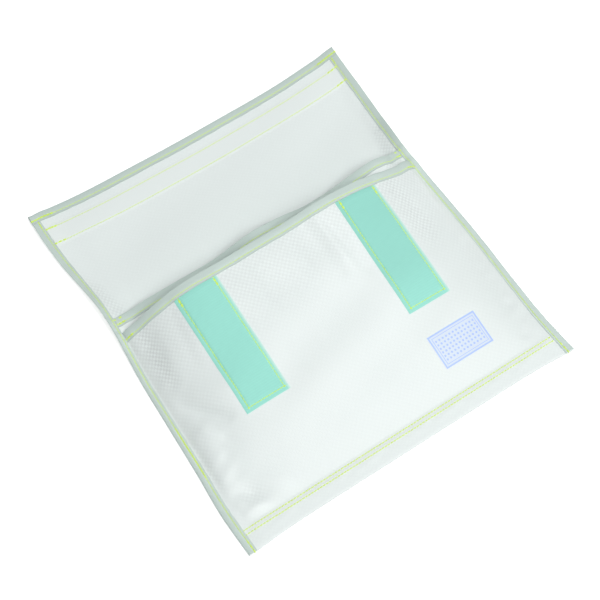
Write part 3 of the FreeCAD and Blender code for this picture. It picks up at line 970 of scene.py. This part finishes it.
def sew(name, rows, seed, thickness=1.0, length=1.0):
    """Mesh of stitches along rows, each a pair of places [point, xyz] and directions square to the cloth.
    Thickness and length are shares of the usual stitch."""
    points, edges = np.concatenate([places for places, _ in rows]) / 1000, []
    for first, (places, _) in zip(np.cumsum([0] + [len(places) for places, _ in rows]).tolist(), rows):
        edges += [(first + i, first + i + 1) for i in range(len(places) - 1)]
    mesh = bpy.data.meshes.new(name + "_rows")
    mesh.from_pydata(points.tolist(), edges, [])
    ups = np.concatenate([up for _, up in rows]).astype(np.float32)
    mesh.attributes.new("up", "FLOAT_VECTOR", "POINT").data.foreach_set("vector", ups.ravel())
    carrier = new_object(name + "_rows", mesh)
    modifier = carrier.modifiers.new("stitches", "NODES")
    modifier.node_group = group_of(stitch_rows)
    set_inputs(modifier, Pitch=sizes().stitch_pitch, Length=sizes().stitch_length * length,
               Thickness=sizes().thread * thickness, Unevenness=0.05, Seed=sizes().seed + seed,
               Thread=material_of(sewing_thread))
    bpy.context.view_layer.update()
    sewn = bpy.data.meshes.new_from_object(carrier.evaluated_get(bpy.context.evaluated_depsgraph_get()))
    bpy.data.objects.remove(carrier)
    bpy.data.meshes.remove(mesh)
    sewn.name = name
    if "up" in sewn.attributes:
        sewn.attributes.remove(sewn.attributes["up"])
    return new_object(name, sewn)


def row_on(cloth, x, y, height):
    """Row of places over a cloth, with the directions square to it."""
    return above(cloth, x, y, height), upright(cloth, *np.broadcast_arrays(x, y))


def straight_row(cloth, start, end, height):
    """Row from one place in the flat pattern to another."""
    count = max(3, round(math.dist(start, end) / ROW_STEP) + 1)
    return row_on(cloth, np.linspace(start[0], end[0], count), np.linspace(start[1], end[1], count), height)


def tack(cloth, start, end, height):
    """Back-tack: three more passes over the start of a row, side by side."""
    start, end = np.array(start, float), np.array(end, float)
    across = np.array((end[1] - start[1], start[0] - end[0]))
    across *= 0.55 / np.linalg.norm(across)
    return [straight_row(cloth, start + shift, end + shift, height + up)
            for shift, up in ((across, 0.15), (0 * across, 0.25), (-across, 0.2))]


def end_tacks(cloth, reach, run, y, height):
    """Back-tacks at both ends of a row across the bag."""
    return [row for side in (-1, 1)
            for row in tack(cloth, (side * reach, y), (side * (reach - run), y), height)]


def make_mouth_stitching():
    """Rows along the two mouth tapes, with their back-tacks."""
    height = CLOTH / 2 + TAPE
    reach = SIDE_SEAM + 1.0
    x = columns(reach, ROW_STEP)[0]
    rows = []
    for cloth, edge_y, lift in ((front, FRONT_MOUTH, over_loops), (divider, DIVIDER_MOUTH, over_nothing)):
        y = edge_y - end_tape_width() + EDGE_SEWN_IN
        rows += [row_on(cloth, x, y, height + lift(x, y) - 0.22), row_on(cloth, x, y, -height)]
        rows += end_tacks(cloth, reach, 9, y, height - 0.15)
    rows += end_tacks(divider, reach, 8, DIVIDER_MOUTH - 2.6, height)
    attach(sew("mouth_stitching", rows, 1), "bag")


def make_loop_stitching():
    """Rows that hold the loop tapes: down one side, across the bottom and up the other."""
    inset = sizes().loop_stitch_inset * 1000
    height, under = CLOTH / 2 + LOOP_WEB, -CLOTH / 2 - 0.05
    top, low = FRONT_MOUTH - end_tape_width() + 1.0, LOOP_LOW + inset
    rows = []
    for side in (-1, 1):
        inner, outer = side * (LOOP_INNER + inset), side * (LOOP_OUTER - inset)
        rows.append(straight_row(front, (inner, top), (inner, low), height))
        rows.append(straight_row(front, (outer, low), (inner, low), height))
        rows.append(straight_row(front, (outer, top), (outer, low), height))
        for x in (inner, outer):
            rows += tack(front, (x, top), (x, top - 9.0), height)
            rows.append(straight_row(front, (x, top), (x, low), under))
        rows.append(straight_row(front, (outer, low), (inner, low), under))
    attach(sew("loop_tape_stitching", rows, 2, thickness=1.15), "bag")


def make_hem_stitching():
    """The double row above the bottom fold, through all the cloths."""
    reach = SIDE_SEAM + 0.5
    rows = [straight_row(cloth, (-reach, y), (reach, y), height) for y in (HEM - 1.2, HEM - 6.0)
            for cloth, height in ((front, CLOTH / 2 + 0.05), (back, -CLOTH / 2 - 0.02))]
    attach(sew("hem_stitching", rows, 3, thickness=1.65, length=0.85), "bag")


def side_row(side, y0, y1, top=True):
    """Row along a side tape, on its upper or its under face."""
    y = rows_between(y0, y1, ROW_STEP)[:, 0]
    z = side_tape_top(y) + TAPE / 2 - 0.12 if top else 0.16
    return settled(side * side_stitch_x(side, y), y, z), np.tile((0.0, 0.0, 1.0), (len(y), 1))


def make_side_stitching():
    """Rows along the side tapes, split at the middle of the strip as the tapes are."""
    for part, y0, y1 in STRETCHES:
        rows = []
        last = y1 if part == "bag" else FLAP_END - end_tape_width() - 0.5
        for side in (-1, 1):
            rows += [side_row(side, y0, last), side_row(side, y0, last, top=False)]
            again = [(y0, y0 + 10)] if part == "bag" else [(last - 7, last)]
            if part == "bag" and side < 0:
                again.append(SEWN_AGAIN)
            for near, far in again:
                for shift in (-0.3, 0.3):
                    places, up = side_row(side, near, far)
                    rows.append((places + np.array((shift, 0.6, 0.15)), up))
        bend_at_creases(sew(f"side_stitching_{part}", rows, 4 if part == "bag" else 5))


def make_flap_stitching():
    """Rows along the hook tape and the flap's end tape."""
    reach = SIDE_SEAM - 0.5
    rows = []
    for y in (HOOK_LOW + HOOK_SEWN_IN, HOOK_HIGH - HOOK_SEWN_IN):
        rows += [straight_row(back, (-reach, y), (reach, y), height)
                 for height in (CLOTH / 2 + 0.25, -(CLOTH / 2 + 0.02))]
        rows += end_tacks(back, reach, 10, y, CLOTH / 2 + 0.3)
    x, y = columns(HALF_WIDTH - 0.8, ROW_STEP)[0], FLAP_END - end_tape_width() + 3.4
    height = CLOTH / 2 + TAPE
    rows.append(row_on(back, x, y, height + over_side_tapes(x, y) - 0.05))
    rows += end_tacks(back, HALF_WIDTH - 1, 22, y, height + 0.5 * TAPE)
    rows.append(row_on(back, x, y, -height + 0.15))
    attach(sew("flap_stitching", rows, 6), "flap")


# ---- Stage ----

def make_floor():
    """White floor that keeps the bag's shadow and fades to plain white further out."""
    half = 9
    corners = [(-half, -half, 0), (half, -half, 0), (half, half, 0), (-half, half, 0)]
    mesh = bpy.data.meshes.new("floor")
    mesh.from_pydata(corners, [], [(0, 1, 2, 3)])
    floor = new_object("floor", mesh)
    material, w, surface = new_material("floor_white", Roughness=1.0, Base_Color=(0.9, 0.9, 0.9, 1),
                                        Specular_IOR_Level=0.0)
    away = w.add("ShaderNodeVectorMath", texture_place(w, "Object"), operation="LENGTH").outputs["Value"]
    glow = w.times(w.direct_rays(), w.span(away, 0.8, 3.0, 0.6, 0.95))
    glow = w.add("ShaderNodeEmission", (1, 1, 1, 1), glow)
    both = w.add("ShaderNodeAddShader", surface.outputs[0], glow.outputs[0])
    w.put(w.tree.nodes["Material Output"].inputs["Surface"], both.outputs[0])
    mesh.materials.append(material)


def make_world():
    """White surroundings that fill the shadows a little and look plain white."""
    world = bpy.data.worlds.new("white_room")
    bpy.context.scene.world = world
    world.use_nodes = True
    w = Wiring(world.node_tree)
    height = w.parts(texture_place(w, "Generated"))[2]
    fill = w.blend_values(w.math("MAXIMUM", height, 0.0), 0.54, 0.16)
    strength = w.blend_values(w.math("MINIMUM", w.direct_rays(), 1.0), fill, 1.0)
    background = world.node_tree.nodes["Background"]
    background.inputs["Color"].default_value = (1, 1, 1, 1)
    w.put(background.inputs["Strength"], strength)


def look_along(thing, place, direction):
    """Set a lamp or camera at a place, looking in a direction."""
    thing.location = place
    thing.rotation_mode = "QUATERNION"
    thing.rotation_quaternion = direction.to_track_quat("-Z", "Y")


def make_lamp(name, place, size, power):
    """Soft square lamp that looks at the bag."""
    data = bpy.data.lights.new(name, "AREA")
    data.shape, data.size, data.energy = "SQUARE", size, power
    lamp = new_object(name, data)
    look_along(lamp, place, -Vector(place))
    return lamp


def make_camera():
    """Camera that looks down at the bag from its bottom left."""
    azimuth, elevation = math.radians(-33.52), math.radians(64.51)
    distance, looked_at = 1.6564, Vector((-0.00593, -0.01926, 0.0))
    away = Vector((math.sin(azimuth) * math.cos(elevation), -math.cos(azimuth) * math.cos(elevation),
                   math.sin(elevation)))
    data = bpy.data.cameras.new("camera")
    data.sensor_width, data.lens = 36.0, 97.98
    data.clip_start, data.clip_end = 0.05, 50.0
    camera = new_object("camera", data)
    look_along(camera, looked_at + away * distance, -away)
    bpy.context.scene.camera = camera


# ---- Add-on ----

def size_property(name, description, default, low, high):
    return FloatProperty(name=name, description=description, default=default, min=low, max=high,
                         unit="LENGTH")


def colour_property(name, description, default):
    return FloatVectorProperty(name=name, description=description, default=default, size=3, min=0, max=1,
                               subtype="COLOR")


class BagSizes(bpy.types.PropertyGroup):
    """Sizes that a maker may change without a new CAD model."""
    side_tape_width: size_property("Side tape", "Width that shows on each face", 0.0106, 0.004, 0.02)
    end_tape_width: size_property("Mouth and end tapes", "Width that shows on each face", 0.011, 0.004, 0.02)
    thread: size_property("Thread", "Thickness of the sewing thread", 0.0008, 0.0002, 0.002)
    stitch_length: size_property("Stitch", "Length of thread that shows in a stitch", 0.0033, 0.001, 0.01)
    stitch_pitch: size_property("Stitch pitch", "From one stitch to the next", 0.0034, 0.001, 0.012)
    loop_stitch_inset: size_property("Loop tape seam", "Loop tape's edge to its stitching", 0.0045, 0.001,
                                     0.01)
    weave_cell: size_property("Weave", "Width of one cell of the basket weave", 0.0026, 0.0005, 0.01)
    tape_rib: size_property("Tape ribs", "From one rib of the binding tape to the next", 0.0011, 0.0003,
                            0.005)
    seed: IntProperty(name="Seed", description="Changes how unevenly the stitches lie", default=7, min=0)


class BagColours(bpy.types.PropertyGroup):
    """Colours of the bag's pieces."""
    cloth: colour_property("Cloth", "Woven glass cloth", (0.88, 0.95, 0.935))
    tape: colour_property("Binding tape", "Tape on the sides, the mouths and the flap's end",
                          (0.63, 0.75, 0.705))
    hook: colour_property("Hook tape", "Band of hooks on the flap", (0.90, 0.97, 0.95))
    loop: colour_property("Loop tape", "Pile of the two loop tapes", (0.345, 0.79, 0.68))
    loop_edge: colour_property("Loop tape edge", "Woven edges of the two loop tapes", (0.55, 0.86, 0.76))
    thread: colour_property("Thread", "Sewing thread", (0.68, 0.90, 0.10))
    badge: colour_property("Badge", "Ink of the printed badge", (0.36, 0.52, 1.0))


class MakerOperator:
    """What the bag's operators share."""
    bl_options = {"REGISTER", "UNDO"}
    makers = ()

    def execute(self, context):
        for make in self.makers:
            make()
        return {"FINISHED"}


class BAG_OT_outer_cloth(MakerOperator, bpy.types.Operator):
    """Make the outer cloth: front, bottom fold, back, strip and flap"""
    bl_idname = "bag.outer_cloth"
    bl_label = "Outer cloth"
    makers = (make_outer_cloth,)


class BAG_OT_divider_cloth(MakerOperator, bpy.types.Operator):
    """Make the divider between the two pockets"""
    bl_idname = "bag.divider_cloth"
    bl_label = "Divider"
    makers = (make_divider_cloth,)


class BAG_OT_side_tapes(MakerOperator, bpy.types.Operator):
    """Make the binding tapes along the two sides"""
    bl_idname = "bag.side_tapes"
    bl_label = "Side tapes"
    makers = (make_side_tapes,)


class BAG_OT_edge_tapes(MakerOperator, bpy.types.Operator):
    """Make the binding tapes on the two mouths and the flap's end"""
    bl_idname = "bag.edge_tapes"
    bl_label = "Mouth and end tapes"
    makers = (make_edge_tapes,)


class BAG_OT_hook_tape(MakerOperator, bpy.types.Operator):
    """Make the band of hooks on the flap"""
    bl_idname = "bag.hook_tape"
    bl_label = "Hook tape"
    makers = (make_hook_tape,)


class BAG_OT_loop_tapes(MakerOperator, bpy.types.Operator):
    """Make the two loop tapes on the front"""
    bl_idname = "bag.loop_tapes"
    bl_label = "Loop tapes"
    makers = (make_loop_tapes,)


class BAG_OT_stitching(MakerOperator, bpy.types.Operator):
    """Sew every row of stitches"""
    bl_idname = "bag.stitching"
    bl_label = "Stitching"
    makers = (make_mouth_stitching, make_loop_stitching, make_hem_stitching, make_side_stitching,
              make_flap_stitching)


class BAG_OT_stage(MakerOperator, bpy.types.Operator):
    """Set up the floor, the surroundings, the lamps and the camera"""
    bl_idname = "bag.stage"
    bl_label = "Stage"

    def execute(self, context):
        context.scene.view_settings.view_transform = "Standard"
        make_camera()
        make_floor()
        make_world()
        make_lamp("overhead_lamp", place=(0.40, -0.80, 2.20), size=1.6, power=42.0)
        sheen_lamp = make_lamp("sheen_lamp", place=(0.94, -0.60, 2.14), size=1.0, power=4.0)
        sheen_lamp.visible_diffuse = False
        return {"FINISHED"}


class BAG_PT_panel(bpy.types.Panel):
    """Sidebar panel with the bag's sizes, colours and pieces"""
    bl_idname = "BAG_PT_panel"
    bl_label = "Battery Bag"
    bl_space_type = "VIEW_3D"
    bl_region_type = "UI"
    bl_category = "Battery Bag"

    def draw(self, context):
        for group in (context.scene.bag_sizes, context.scene.bag_colours):
            for name in group.__annotations__:
                self.layout.prop(group, name)
        for operator in OPERATORS:
            self.layout.operator(operator.bl_idname)


OPERATORS = (BAG_OT_stage, BAG_OT_outer_cloth, BAG_OT_divider_cloth, BAG_OT_side_tapes, BAG_OT_edge_tapes,
             BAG_OT_hook_tape, BAG_OT_loop_tapes, BAG_OT_stitching)
CLASSES = (BagSizes, BagColours, *OPERATORS, BAG_PT_panel)


def register():
    for kind in CLASSES:
        bpy.utils.register_class(kind)
    bpy.types.Scene.bag_sizes = PointerProperty(type=BagSizes)
    bpy.types.Scene.bag_colours = PointerProperty(type=BagColours)


def unregister():
    del bpy.types.Scene.bag_colours
    del bpy.types.Scene.bag_sizes
    for kind in reversed(CLASSES):
        bpy.utils.unregister_class(kind)


def main():
    """Make the stage and every piece."""
    register()
    bpy.ops.bag.stage()
    bpy.ops.bag.outer_cloth()
    bpy.ops.bag.divider_cloth()
    bpy.ops.bag.side_tapes()
    bpy.ops.bag.edge_tapes()
    bpy.ops.bag.hook_tape()
    bpy.ops.bag.loop_tapes()
    bpy.ops.bag.stitching()


if __name__ == "__main__":
    main()
